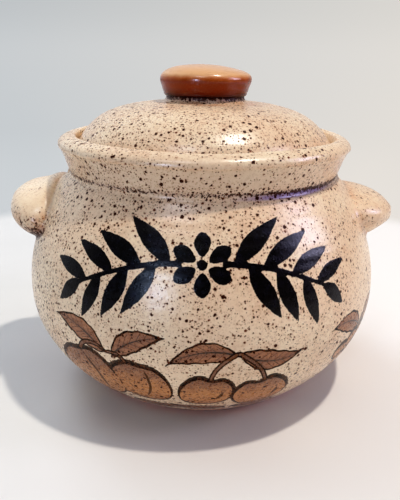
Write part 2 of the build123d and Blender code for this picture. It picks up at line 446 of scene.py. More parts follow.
def brush_leaf(length, width, bend):
    """A comma-shaped brush stroke from the origin along +x."""
    u = np.linspace(0, 1, 26)
    w = width / 2 * np.sin(math.pi * u**0.88) ** 1.05
    w = w + 0.6 * (1 - u)
    arch = bend * u**1.7
    return np.concatenate([np.stack([u * length, arch + w], 1), np.stack([u * length, arch - w * 0.9], 1)[::-1]])


def paint_belly(az, run, radius):
    p = Painted(az, run, radius)
    r = np.random.default_rng(31)

    # a black garland of brushed leaves across the front, arched over its middle, from a blossom outwards
    def garland(a):
        return 125.0 - 25.0 * (a / math.radians(45)) ** 2 + 1.2 * math.sin(6 * abs(a))

    REF = 109.0
    end = math.radians(37.5)
    ring = np.linspace(0, 2 * math.pi, 40, endpoint=False)
    for side in (-1, 1):
        aa = np.linspace(0.10, end, 12) * side
        line = np.array([(a * REF, garland(a)) for a in aa])
        stem = ribbon(line, 1.7, 1.0, 80)
        k = np.nonzero((np.abs(az) < 1.0) & (side * az > -0.05))[0]
        p.ink[k] = np.minimum(p.ink[k], distance(stem, az[k] * REF, run[k]))

        def leaf_at(b, half, lean, length, width):
            slope = math.degrees(math.atan2(garland(b + 0.01) - garland(b), 0.01 * REF))
            shape = turned(brush_leaf(length, width, -half * 3.8), slope + half * lean)
            if side < 0:
                shape[:, 0] *= -1
            p.stroke((side * b, garland(b) - half * 0.4), shape)

        for i in range(4):
            b = 0.160 + 0.146 * i
            size = 1.0 - 0.22 * (i / 3.0) ** 1.3
            leaf_at(b, 1, 54 + r.uniform(-4, 4), 35.0 * size * r.uniform(0.95, 1.05), 10.4 * size * r.uniform(0.94, 1.06))
            if i < 3:
                leaf_at(b + 0.070, -1, 56 + r.uniform(-4, 4), 33.0 * size * r.uniform(0.95, 1.05), 10.0 * size * r.uniform(0.94, 1.06))
        leaf_at(end - 0.02, 1, -4, 21.0, 8.6)
    for n in range(6):
        petal = turned(closed([(3.9, 0), (6.4, 2.7), (10.6, 4.4), (14.6, 3.2), (16.9, 0.4), (14.4, -3.4), (10.2, -4.1), (6.2, -2.5)], 64), 30 + 60 * n)
        p.stroke((0.0, garland(0)), petal)
    p.stroke((0.0, garland(0)), np.stack([2.7 * np.cos(ring), 2.7 * np.sin(ring)], 1))

    # a band of fruit and leaves low on the belly, all the way round
    plum = closed([(0, 19.5), (9.5, 19.8), (18, 12.5), (21.5, 0), (18, -12), (8, -19.5), (-4, -20.5), (-15, -15.5), (-21, -4), (-19.5, 9), (-10.5, 18)], 99)
    seam = closed([(1.5, 18.6), (6.0, 12.0), (8.4, 2.0), (7.2, -8.5), (3.5, -16.5), (5.6, -8.5), (6.6, 2.0), (4.2, 11.5)], 64, (0, 4))
    cherry = closed([(0, 10.4), (6.2, 12.0), (11.6, 6.6), (12.4, -1.5), (8.6, -9.4), (0.6, -12.4), (-8.0, -9.8), (-12.4, -2.0), (-11.2, 6.8), (-5.8, 11.8)], 90)
    crescent = closed([(-7.6, 3.2), (-7.9, -2.2), (-4.6, -7.0), (-5.9, -2.2)], 44, (0, 2))
    grape = np.stack([6.9 * np.cos(ring), 6.7 * np.sin(ring)], 1)

    def flip(q, m):
        q = np.array(q, float)
        q[:, 0] *= m
        return q

    def leaf(place, m, base, deg, length, width, bend):
        deg = deg if m > 0 else 180 - deg
        p.add_leaf(place, (base[0] * m, base[1]), deg, length, width, bend * m)

    def plums(a, run0, m):
        at = (a, run0)
        leaf(at, m, (4, 21), 158, 37, 14.5, -4.0)
        leaf(at, m, (9, 20), 28, 33, 13.5, 3.5)
        leaf(at, m, (-8, -16), 197, 24, 11.0, 3.0)
        leaf(at, m, (4, -28), 178, 33, 12.5, 2.5)
        leaf(at, m, (6, -28), 4, 31, 12.0, -2.5)
        p.add_fruit(at, flip(turned(plum * 0.86, -14, 21, 0.5), m))
        p.stroke(at, flip(turned(seam * 0.86, -14, 21, 0.5), m), "mark")
        p.add_fruit(at, flip(turned(plum * 1.08, 9, -13, -3.0), m))
        p.stroke(at, flip(turned(seam * 1.08, 9, -13, -3.0), m), "mark")
        p.stroke(at, flip(ribbon([(-14.5, 17.0), (-11.5, 22.0), (-2.0, 24.5), (5.0, 21.5)], 1.7, 1.1), m), "stalk")
        p.stroke(at, flip(ribbon([(17.0, 16.5), (13.0, 21.0), (5.0, 21.5)], 1.4, 1.1), m), "stalk")

    def cherries(a, run0, m):
        at = (a, run0)
        leaf(at, m, (2, 25), 186, 35, 14.0, 4.2)
        leaf(at, m, (4, 25), -9, 36, 13.5, 4.6)
        leaf(at, m, (0, -29), 174, 31, 12.0, 2.5)
        leaf(at, m, (3, -29), 8, 32, 12.5, -2.5)
        p.add_fruit(at, flip(turned(cherry * 1.22, 8, 18.0, -5.0), m))
        p.add_fruit(at, flip(turned(cherry * 1.34, -12, -14.0, -9.5), m))
        p.stroke(at, flip(turned(crescent * 1.2, 4, 18.0, -5.0), m), "mark")
        p.stroke(at, flip(turned(crescent * 1.3, -6, -14.0, -9.5), m), "mark")
        p.stroke(at, flip(ribbon([(-14.0, 4.0), (-11.5, 12.0), (-5.0, 20.0), (3.0, 26.0)], 1.35, 1.5), m), "stalk")
        p.stroke(at, flip(ribbon([(17.0, 7.0), (15.5, 13.5), (10.5, 20.5), (3.0, 26.0)], 1.3, 1.5), m), "stalk")

    def grapes(a, run0, m):
        at = (a, run0)
        leaf(at, m, (-3, 22), 165, 33, 14.5, -3.6)
        leaf(at, m, (1, 22), 22, 28, 12.5, 3.2)
        leaf(at, m, (-4, -27), 176, 27, 11.5, 2.5)
        leaf(at, m, (5, -27), 4, 28, 12.0, -2.5)
        for gx, gy in ((-19, 9), (-7, 14), (6, 14), (18, 8), (-13, -1), (13, -2), (0, 4), (-7, -11), (7, -12), (0, -21)):
            p.add_fruit(at, flip(grape + (gx, gy), m))
        p.stroke(at, flip(ribbon([(0, 17.0), (-1.0, 22.0), (1.5, 28.0)], 1.7, 1.4), m), "stalk")

    makers = (plums, cherries, grapes)
    for i in range(8):
        a = math.radians(-32.0 + 45.0 * i + (2.5, -1.5, 1.0, -2.0)[i % 4])
        makers[i % 3](a, 50.0 + (0.0, 1.6, -1.4, 0.8)[i % 4], 1 if i % 2 == 0 else -1)
    return p


# ------------------------------------------------------------------- pieces
def first(tags, k):
    return int(np.nonzero(tags == k)[0][0])


def last(tags, k):
    return int(np.nonzero(tags == k)[0][-1])


def runs(pts):
    return np.concatenate([[0], np.cumsum(np.hypot(*np.diff(pts, axis=0).T))])


def bump_at(v, centre, width):
    return np.exp(-(((v - centre) / width) ** 2))


def turn(a):
    return (a + math.pi) % (2 * math.pi) - math.pi


v_run = runs(vessel_pts)
V_FOOT, V_BELLY, V_CREASE, V_RIM_END = (first(vessel_tag, 3), first(vessel_tag, 4), first(vessel_tag, 5), last(vessel_tag, 9))


def rim_wave(az):
    """How far the rim stands above its true height, in mm."""
    lean = 0.5 * np.sin(az) * np.clip(np.abs(turn(az)) / (math.pi / 2), 0, 1) ** 2 - 0.7 * bump_at(turn(az), 1.75, 0.35)
    return lean - 0.42 * bump_at(turn(az), 0.05, 0.35) + 0.45 * bump_at(turn(az), 0.62, 0.30) + 0.16 * w_rim(az, 0 * az)


def hole_shift(az, r):
    """How far the recess and the rim's inner edge stand to the right of the axis, as a change of radius."""
    return 1.1 * np.sin(az) * np.clip((91.0 - r) / 6.0, 0, 1)


def vessel_push(az, r, z, row):
    tag = vessel_tag[row]
    if tag in (4, 5) and z[0] < 139.5:
        return r + belly_push(az, z), z
    if tag == 3:
        return r + 0.15 * w_edge(az, 0 * az), z
    if tag in (5, 6, 7, 8, 9):
        up = np.clip((z - 141.0) / 14.0, 0, 1)
        edge = 0.10 * w_edge(az, 0 * az) * (tag in (7, 9))
        inner = hole_shift(az, r) * (tag in (8, 9))
        return r + inner + up * 0.28 * w_rim(az + 1.3, 0 * az) + edge + 0.10 * w_mid(az, z) * up, z + up * rim_wave(az)
    if tag == 10:
        up = np.clip((z - SEAT_Z - 1.0) / 6.0, 0, 1)
        return r + up * (0.12 * w_rim(az + 1.3, 0 * az) + hole_shift(az, r)), z + up * rim_wave(az)
    if tag in (14, 15):
        fade = np.clip((150.0 - z) / 12.0, 0, 1) * np.clip((z - FLOOR_Z - 1.0) / 10.0, 0, 1)
        rings = np.sin(2 * math.pi * (z + az / (2 * math.pi) * 8.0) / 8.0)
        return r + fade * (0.30 * w_big(az + 1, z) + 0.10 * rings), z
    return r, z


def vessel_attrs(az, run, row, r, z):
    tag = vessel_tag[row]
    belly = (row >= V_BELLY) & (row <= V_CREASE + 2)
    run0 = run - v_run[V_BELLY]
    p = paint_belly(az[belly], run0[belly], r[belly])
    out = {}
    for key, part, rest in (
        ("ink", p.ink, 9.0), ("fruit", p.fruit, 9.0), ("leaf", p.leaf, 9.0), ("stalk", p.stalk, 9.0),
        ("mark", p.mark, 9.0), ("lu", p.lu, 0.0), ("lv", p.lv, 0.0), ("fx", p.fx, 0.0), ("fy", p.fy, 0.0),
    ):
        value = np.full(len(az), rest)
        value[belly] = part
        out[key] = value
    crease = v_run[last(vessel_tag, 5)]
    out["bare"] = np.isin(tag, (0, 1, 2)).astype(float) + 0.85 * np.isin(tag, (12,)) + 0.5 * bump_at(run, v_run[V_FOOT], 0.9)
    right = bump_at(turn(az - 0.85), 0, 0.55)
    # Painted reflection: a violet band along the crease on the right, standing for a bluish window seen in the glaze.
    out["haze"] = bump_at(turn(az - 0.62), 0, 0.42) * bump_at(run, crease - 2.5, 1.9)
    # Pooled glaze along the crease and in the gallery corner. Towards the right the crease is darkened further as
    # painted shade, where the collar's shadow falls into it.
    out["pool"] = (1 + 0.9 * right + 0.2 * bump_at(turn(az + 1.0), 0, 0.45)) * bump_at(run, crease - 0.8 * right, 1.6) + 0.3 * bump_at(run, v_run[last(vessel_tag, 11)], 1.0)
    side = 1.1 * bump_at(turn(az - math.radians(64)), 0, 0.22) + 1.15 * bump_at(turn(az + math.radians(66)), 0, 0.28)
    collar = bump_at(run, crease + 8.5, 5.5) * (tag >= 5) * (tag <= 8)
    # Painted shade: the collar, and the rim at the front, darkened where they face down and away from the lamps, less
    # on the right.
    out["thin"] = np.isin(tag, (6,)) * (1 - 0.75 * bump_at(turn(az - 0.95), 0, 0.5)) + 0.55 * np.isin(tag, (7, 8)) * bump_at(turn(az), 0, 0.45)
    # On the pot this is the glaze's own orange-brown flashing on the collar, the rim edge and round the foot.
    out["blush"] = side * collar + 0.30 * np.isin(tag, (7,)) + 2.3 * bump_at(run, v_run[V_BELLY] + 1.0, 5.5)
    out["dens"] = (
        0.50 + 0.30 * bump_at(turn(az + 0.95), 0, 0.55) + (0.42 + 0.40 * bump_at(turn(az + 1.0), 0, 0.5)) * bump_at(run, crease - 2.0, 5.0)
        + 0.12 * bump_at(turn(az - 0.1), 0, 0.5) * (run < crease) - 0.50 * bump_at(turn(az - 1.45), 0, 0.45)
        - 0.10 * (run > crease + 2.0) * bump_at(turn(az), 0, 0.6)
    )
    return out


def vessel_uv(az, run, row, faz, frow):
    outer = (frow >= V_FOOT) & (frow < V_RIM_END)
    s0, s1, s2 = v_run[V_FOOT], v_run[V_RIM_END], v_run[-1]
    faz = turn(faz)
    front = np.abs(faz) < math.pi / 2
    local = faz + turn(az - faz)
    local = np.where(front, local, np.where(faz > 0, local - math.pi, local + math.pi))
    u = 0.012 + (local / math.pi + 0.5) * 0.70
    v = np.where(front, 0.507, 0.006) + np.clip((run - s0) / (s1 - s0), 0, 1) * 0.485
    round_ = 0.01 + (az + math.pi) / (2 * math.pi) * 0.98
    inside = frow >= V_RIM_END
    ui = 0.735 + 0.205 * (run - s1) / (s2 - s1)
    uu = 0.950 + 0.042 * run / s0
    return np.stack([np.where(outer, u, np.where(inside, ui, uu)), np.where(outer, v, round_)], 1)


vessel = lathe(
    "vessel_body", vessel_pts, 480, vessel_push, front=0.30,
    coarse=(vessel_tag < 3) | (vessel_tag > 9), attrs=vessel_attrs, uv=vessel_uv,
)

lid_pts, lid_tag = lid_pts[::-1], lid_tag[::-1]
l_run = runs(lid_pts)
L_EDGE = first(lid_tag, 4)


def lid_push(az, r, z, row):
    tag = lid_tag[row]
    off = 0.5 * np.sin(az)
    if tag == 3:
        fade = np.clip((r - 29.0) / 15.0, 0, 1) * np.clip((82.0 - r) / 6.0, 0, 1)
        rings = np.sin(2 * math.pi * (r + az / (2 * math.pi) * 5.0) / 5.0)
        return r + off + 0.1 * w_rim(az + 0.4, 0 * az), z + fade * (0.28 * w_big(az + 2, r * 1.3) + 0.12 * w_mid(az, r) + 0.05 * rings + 0.45 * bump_at(turn(az + 1.6), 0, 0.8))
    if tag in (4, 5):
        return r + off + 0.1 * w_rim(az + 0.4, 0 * az), z
    if tag == 9 and z[0] > 158:
        rings = np.sin(2 * math.pi * (r + az / (2 * math.pi) * 6.0) / 6.0)
        return r, z + 0.10 * rings * np.clip(r / 12.0, 0, 1) * np.clip((168.0 - r) / 100, 0, 1)
    if tag in (0, 1, 2):
        return r + (off + 0.12 * w_mid(az, z)) * np.clip(r / 20.0, 0, 1), z
    return r, z


def lid_attrs(az, run, row, r, z):
    tag = lid_tag[row]
    out = {}
    top = np.isin(tag, (1, 2, 3, 4))
    out["bare"] = 0.85 * np.isin(tag, (5, 6)) + 0.85 * np.isin(tag, (8,))
    edge = l_run[last(lid_tag, 2)]
    out["pool"] = np.where(top, 1.3 * bump_at(run, edge, 2.2) * np.isin(tag, (0, 1, 2)) + 0.4 * np.isin(tag, (1,)), 0.0)
    out["blush"] = 0.8 * bump_at(run, l_run[first(lid_tag, 2)], 6.0) * bump_at(turn(az), 0.0, 1.2) * top
    out["dens"] = np.where(
        top,
        0.66 + 0.42 * bump_at(turn(az + 0.75), 0, 0.90) * np.clip((r - 30) / 20, 0, 1)
        - 0.30 * bump_at(turn(az - 1.4), 0, 0.7),
        0.42,
    )
    return out


def lid_uv(az, run, row, faz, frow):
    top = frow >= L_EDGE
    split, end = l_run[L_EDGE], l_run[-1]
    rho = np.where(top, 0.318 * (end - run) / (end - split), 0.165 * run / split)
    cx = np.where(top, 0.326, 0.828)
    return np.stack([cx + rho * np.sin(az), cx - rho * np.cos(az)], 1)


lid = lathe("lid_dome", lid_pts, 400, lid_push, attrs=lid_attrs, uv=lid_uv)

k_run = runs(knob_pts)


def knob_push(az, r, z, row):
    up = np.clip((z - BOSS_Z) / 4.0, 0, 1)
    r = r + (0.5 + 0.6 * (z - BOSS_Z) / (KNOB_TOP_Z - BOSS_Z)) * np.sin(az) * np.clip(r / 8.0, 0, 1) - 0.7 * bump_at(z, 191.0, 2.8) * (r > 25)
    return r + up * (0.14 * w_rim(az + 2.2, 0 * az) + 0.05 * w_mid(az, z)) * np.clip(r / 8.0, 0, 1), z + (0.06 * w_big(az, r) - 0.7 * np.clip((z - 197.0) / 6.0, 0, 1) * np.sin(az)) * up * np.clip(r / 20.0, 0, 1)


def knob_attrs(az, run, row, r, z):
    return {"rise": (z - BOSS_Z) / (KNOB_TOP_Z - BOSS_Z), "out": r / KNOB_R}


def knob_uv(az, run, row, faz, frow):
    k = first(knob_tag, 1) + 2
    top = frow >= k
    split, end = k_run[k], k_run[-1]
    rho = np.where(top, 0.37 * (end - run) / (end - split), 0.10 * run / split)
    cx = np.where(top, 0.385, 0.885)
    return np.stack([cx + rho * np.sin(az), cx - rho * np.cos(az)], 1)


knob = lathe("knob_button", knob_pts, 224, knob_push, attrs=knob_attrs, uv=knob_uv)


def make_lug(name, side, centre, semi, lift, square, web, root_up, root_down):
    """A pulled lug: a rounded tongue of clay pressed on to the belly and smoothed round its root.
    centre is (radius, height), semi the half sizes out, along and up, lift how far its nose is raised, in degrees,
    web how much more clay is smeared above and below it, and root_up and root_down are lumps of clay
    over and under its root, as (height, radius, width)."""
    a, b, c = semi
    cl, sl = math.cos(math.radians(lift)), math.sin(math.radians(lift))
    n_phi, n_th = 132, 46
    phi = np.linspace(0, 2 * math.pi, n_phi + 1)[:-1]
    w = waves(41 + side, 6, 2, 5, 0.9)

    def tongue(theta, ph):
        """Point in (out, along, up) of the tongue's own shape, theta from its nose."""
        cp, sp = np.cos(ph), np.sin(ph)
        cp, sp = np.sign(cp) * np.abs(cp) ** (2 / square), np.sign(sp) * np.abs(sp) ** (2 / square)
        k = 1 + 0.010 * w(ph, theta)
        o, al, u = a * np.cos(theta) * k, b * np.sin(theta) * cp * k, c * np.sin(theta) * sp * k
        rad, z = centre[0] + o * cl - u * sl, centre[1] + o * sl + u * cl
        z = z + root_up[0] * bump_at(rad, root_up[1], root_up[2]) * np.clip(sp, 0, 1) ** 1.5
        z = z - root_down[0] * bump_at(rad, root_down[1], root_down[2]) * np.clip(-sp, 0, 1) ** 1.5
        return np.stack([rad, al, z], -1)

    def depth(q):
        """How far a point stands outside the belly, in mm, along the radius."""
        rad = np.hypot(q[..., 0], q[..., 1])
        az = np.where(side > 0, 1, -1) * np.arctan2(q[..., 0], q[..., 1] * np.where(side > 0, -1, -1))
        return rad - belly_radius(az, q[..., 2]), az

    ths = np.linspace(0.03, math.pi * 0.78, 500)
    root = np.empty(n_phi)
    for i, p in enumerate(phi):
        d, _ = depth(tongue(ths, np.full(500, p)))
        hit = np.nonzero(d < 0)[0]
        root[i] = ths[hit[0]] if len(hit) else ths[-1]
    for _ in range(3):
        root = (np.roll(root, 1) + 2 * root + np.roll(root, -1)) / 4
    rings, height = [], []
    for t in np.linspace(0.0, 1.0, n_th) ** 0.9:
        if t == 0:
            continue
        rings.append(tongue(root * t * 0.955, phi))
        height.append(t)
    rootq = tongue(root, phi)
    inner = rings[-1]
    _, az = depth(rootq)
    mid = rootq.mean(axis=0)
    z = rootq[:, 2]
    out = []
    # the clay smeared down on to the belly, in rings further and further out
    dy, dz = rootq[:, 1] - mid[1], z - mid[2]
    ln = np.hypot(dy, dz)
    reach = 1 + web[0] * np.clip(dz / ln, 0, 1) ** 3 + web[1] * np.clip(-dz / ln, 0, 1) ** 3
    for k, (far, lift_off) in enumerate(((0.5, 0.75), (1.3, 0.36), (2.3, 0.14), (3.4, 0.03), (4.4, -0.06), (5.0, -0.5), (3.0, -2.4))):
        zz = z + far * reach * dz / ln
        along = rootq[:, 1] + far * dy / ln
        rad = belly_radius(az, zz)
        azz = np.arcsin(np.clip(along / rad, -1, 1))
        rad = belly_radius(side * (math.pi / 2) + azz * side, zz) + lift_off * (reach if lift_off > 0 else 1)
        out.append(np.stack([rad * np.cos(azz), rad * np.sin(azz), zz], 1))
        height.append(1 + 0.12 * (k + 1))
    rings += out
    verts = [tongue(np.array([0.0]), np.array([0.0]))[0]]
    for q in rings:
        verts += list(q)
    back = out[-1].mean(axis=0)
    verts.append(back)
    verts = np.array(verts)
    verts = np.stack([side * verts[:, 0], verts[:, 1], verts[:, 2]], 1)
    m = len(rings)
    faces, uvs = [], []

    def uv_at(ring, j):
        rho = 0.48 * (ring / m) ** 0.9
        p = 2 * math.pi * j / n_phi
        return (0.5 + rho * math.cos(p), 0.5 + rho * math.sin(p))

    def add(ids, at):
        if side < 0:
            ids, at = ids[::-1], at[::-1]
        faces.append([int(i) for i in ids])
        uvs.extend(uv_at(*q) for q in at)

    for j in range(n_phi):
        k = (j + 1) % n_phi
        add((0, 1 + j, 1 + k), ((0, j), (1, j), (1, j + 1)))
        for i in range(m - 1):
            r0, r1 = 1 + i * n_phi, 1 + (i + 1) * n_phi
            add((r0 + j, r1 + j, r1 + k, r0 + k), ((i + 1, j), (i + 2, j), (i + 2, j + 1), (i + 1, j + 1)))
        e = 1 + (m - 1) * n_phi
        add((e + j, len(verts) - 1, e + k), ((m, j), (m, j + 0.5), (m, j + 1)))
    h = np.concatenate([[0], np.repeat(height, n_phi), [height[-1]]])
    ph = np.concatenate([[0], np.tile(phi, m), [0]])
    under = np.clip(-np.sin(ph), 0, 1)
    low = np.clip((118.5 - verts[:, 2]) / 5.0, 0, 1)
    attrs = {
        "bare": np.zeros(len(verts)),
        # Pooled glaze and brown clay round the lug's root; the darker, browner underside, and the lower part of the
        # left lug, are painted shade.
        "pool": (1.8 if side < 0 else 0.45) * bump_at(h, 1.12, 0.20) * (0.04 + under) + np.where(side < 0, 0.85 * np.clip((113.0 - verts[:, 2]) / 6.0, 0, 1), 0),
        "blush": 0.9 * bump_at(h, 1.04, 0.10) * (0.45 + 0.55 * under) + np.where(side < 0, 0.45 * low, 0.45 * under * np.clip(h - 0.3, 0, 1)),
        "dens": np.where(
            side < 0,
            -0.14 + 1.16 * np.clip((121.0 - verts[:, 2]) / 8.0, 0, 1),
            0.14 + 0.30 * under * np.clip(h * 1.4 - 0.1, 0, 1),
        ) + 0.20 * bump_at(h, 1.1, 0.2),
    }
    return mesh_object(name, verts, faces, attrs, uvs)


lug_left = make_lug("lug_left_tongue", -1, (102.0, 111.5), (25.5, 44.0, 16.4), 22.0, 2.12, (1.0, 0.6), (6.5, 95.5, 8.5), (0.0, 100.0, 5.0))
lug_right = make_lug("lug_right_tongue", 1, (92.0, 115.6), (34.4, 36.0, 15.0), -3.0, 2.12, (0.8, 1.6), (0.0, 95.0, 8.0), (3.2, 107.0, 6.0))


# ---------------------------------------------------------------- materials
def lin(r, g, b):
    """sRGB 0-255 as a linear RGBA colour."""
    return tuple((v / 12.92 if v <= 0.04045 else ((v + 0.055) / 1.055) ** 2.4) for v in (r / 255, g / 255, b / 255)) + (1.0,)


class Nodes:
    def __init__(self, name):
        self.mat = bpy.data.materials.new(name)
        self.mat.use_nodes = True
        self.tree = self.mat.node_tree
        self.tree.nodes.clear()

    def new(self, kind, **props):
        n = self.tree.nodes.new(kind)
        for k, v in props.items():
            setattr(n, k, v)
        return n

    def put(self, socket, value):
        if isinstance(value, bpy.types.NodeSocket):
            self.tree.links.new(value, socket)
        else:
            socket.default_value = value

    def math(self, op, a, b=None, c=None, clamp=False):
        n = self.new("ShaderNodeMath", operation=op, use_clamp=clamp)
        for s, v in zip(n.inputs, (a, b, c)):
            if v is not None:
                self.put(s, v)
        return n.outputs[0]

    def add(self, a, b): return self.math("ADD", a, b)
    def sub(self, a, b): return self.math("SUBTRACT", a, b)
    def mul(self, a, b): return self.math("MULTIPLY", a, b)
    def mad(self, a, b, c): return self.math("MULTIPLY_ADD", a, b, c)
    def max(self, a, b): return self.math("MAXIMUM", a, b)
    def min(self, a, b): return self.math("MINIMUM", a, b)

    def vec(self, op, a, b=None, scale=None):
        n = self.new("ShaderNodeVectorMath", operation=op)
        self.put(n.inputs[0], a)
        if b is not None:
            self.put(n.inputs[1], b)
        if scale is not None:
            self.put(n.inputs["Scale"], scale)
        return n.outputs[0]

    def mix(self, fac, a, b, blend="MIX"):
        n = self.new("ShaderNodeMix", data_type="RGBA", blend_type=blend)
        n.clamp_factor = True
        self.put(n.inputs[0], fac)
        self.put(n.inputs[6], a)
        self.put(n.inputs[7], b)
        return n.outputs[2]

    def step(self, v, lo, hi, a=0.0, b=1.0, smooth=True):
        n = self.new("ShaderNodeMapRange", interpolation_type="SMOOTHSTEP" if smooth else "LINEAR")
        n.clamp = True
        for s, x in zip(n.inputs, (v, lo, hi, a, b)):
            self.put(s, x)
        return n.outputs[0]

    def noise(self, vec, size, detail=2.0, rough=0.5, distort=0.0, colour=False):
        """Noise with features of about size, in the vector's own unit."""
        n = self.new("ShaderNodeTexNoise")
        self.put(n.inputs["Vector"], vec)
        n.inputs["Scale"].default_value = 1.0 / size
        n.inputs["Detail"].default_value = detail
        n.inputs["Roughness"].default_value = rough
        n.inputs["Distortion"].default_value = distort
        return n.outputs["Color"] if colour else n.outputs[0]

    def attr(self, name):
        return self.new("ShaderNodeAttribute", attribute_name=name).outputs["Fac"]

    def coords(self):
        """Object coordinates in mm."""
        return self.vec("SCALE", self.new("ShaderNodeTexCoord").outputs["Object"], scale=1000.0)

    def bump(self, height_mm, strength=1.0, normal=None):
        n = self.new("ShaderNodeBump")
        n.inputs["Strength"].default_value = strength
        n.inputs["Distance"].default_value = 0.001
        self.put(n.inputs["Height"], height_mm)
        if normal is not None:
            self.put(n.inputs["Normal"], normal)
        return n.outputs[0]

    def surface(self, **sockets):
        b = self.new("ShaderNodeBsdfPrincipled")
        for k, v in sockets.items():
            self.put(b.inputs[k.replace("_", " ")], v)
        o = self.new("ShaderNodeOutputMaterial")
        self.tree.links.new(b.outputs[0], o.inputs[0])
        return self.mat


def specks(g, at, cell, r0, r1, chance):
    """Iron specks, one to a cell: returns (dark core, brown rim, how rusty), 0 to 1."""
    v = g.new("ShaderNodeTexVoronoi", feature="F1", voronoi_dimensions="3D")
    g.put(v.inputs["Vector"], at)
    v.inputs["Scale"].default_value = 1.0 / cell
    sep = g.new("ShaderNodeSeparateColor")
    g.put(sep.inputs[0], v.outputs["Color"])
    size = g.mad(g.mul(sep.outputs[0], sep.outputs[0]), (r1 - r0) / cell, r0 / cell)
    edge = g.mul(g.sub(v.outputs["Distance"], size), cell)
    there = g.math("LESS_THAN", sep.outputs[1], chance)
    return (
        g.mul(g.step(edge, 0.10, -0.08), there),
        g.mul(g.step(edge, 0.50, 0.02), there),
        g.step(sep.outputs[2], 0.55, 0.95),
    )


